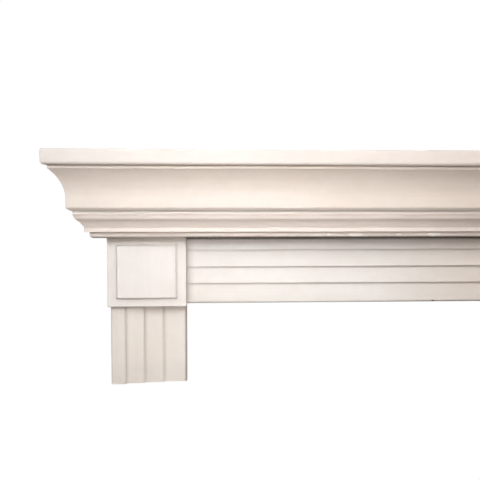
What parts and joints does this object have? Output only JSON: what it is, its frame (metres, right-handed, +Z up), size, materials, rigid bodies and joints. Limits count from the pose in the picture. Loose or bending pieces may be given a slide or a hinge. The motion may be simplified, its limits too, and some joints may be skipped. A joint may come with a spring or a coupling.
{
  "type": "overdoor cornice",
  "caption": "Left-hand corner of a painted timber overdoor cornice: flat cap, cove crown and bed moulding with mitred returns, over a raised-panel corner block and stepped casings.",
  "frame": {"origin": "centre of the corner block's flat back face, where it meets the wall", "axes": "+X along the wall to the viewer's right, +Y into the wall, +Z up"},
  "size_m": [0.5611, 0.0911, 0.2898],
  "materials": {
    "cornice_paint": "satin cream-white paint on smooth timber moulding",
    "block_paint": "satin cream-white paint on smooth timber block",
    "casing_paint": "satin cream-white paint on stepped timber casing"
  },
  "bodies": {
    "root": {"cap_board": "cornice_paint", "crown_front": "cornice_paint", "crown_return": "cornice_paint", "bed_front": "cornice_paint", "bed_return": "cornice_paint", "base_board": "cornice_paint", "corner_block": "block_paint", "block_panel": "block_paint", "head_casing": "casing_paint", "leg_casing": "casing_paint"}
  },
  "joints": []
}
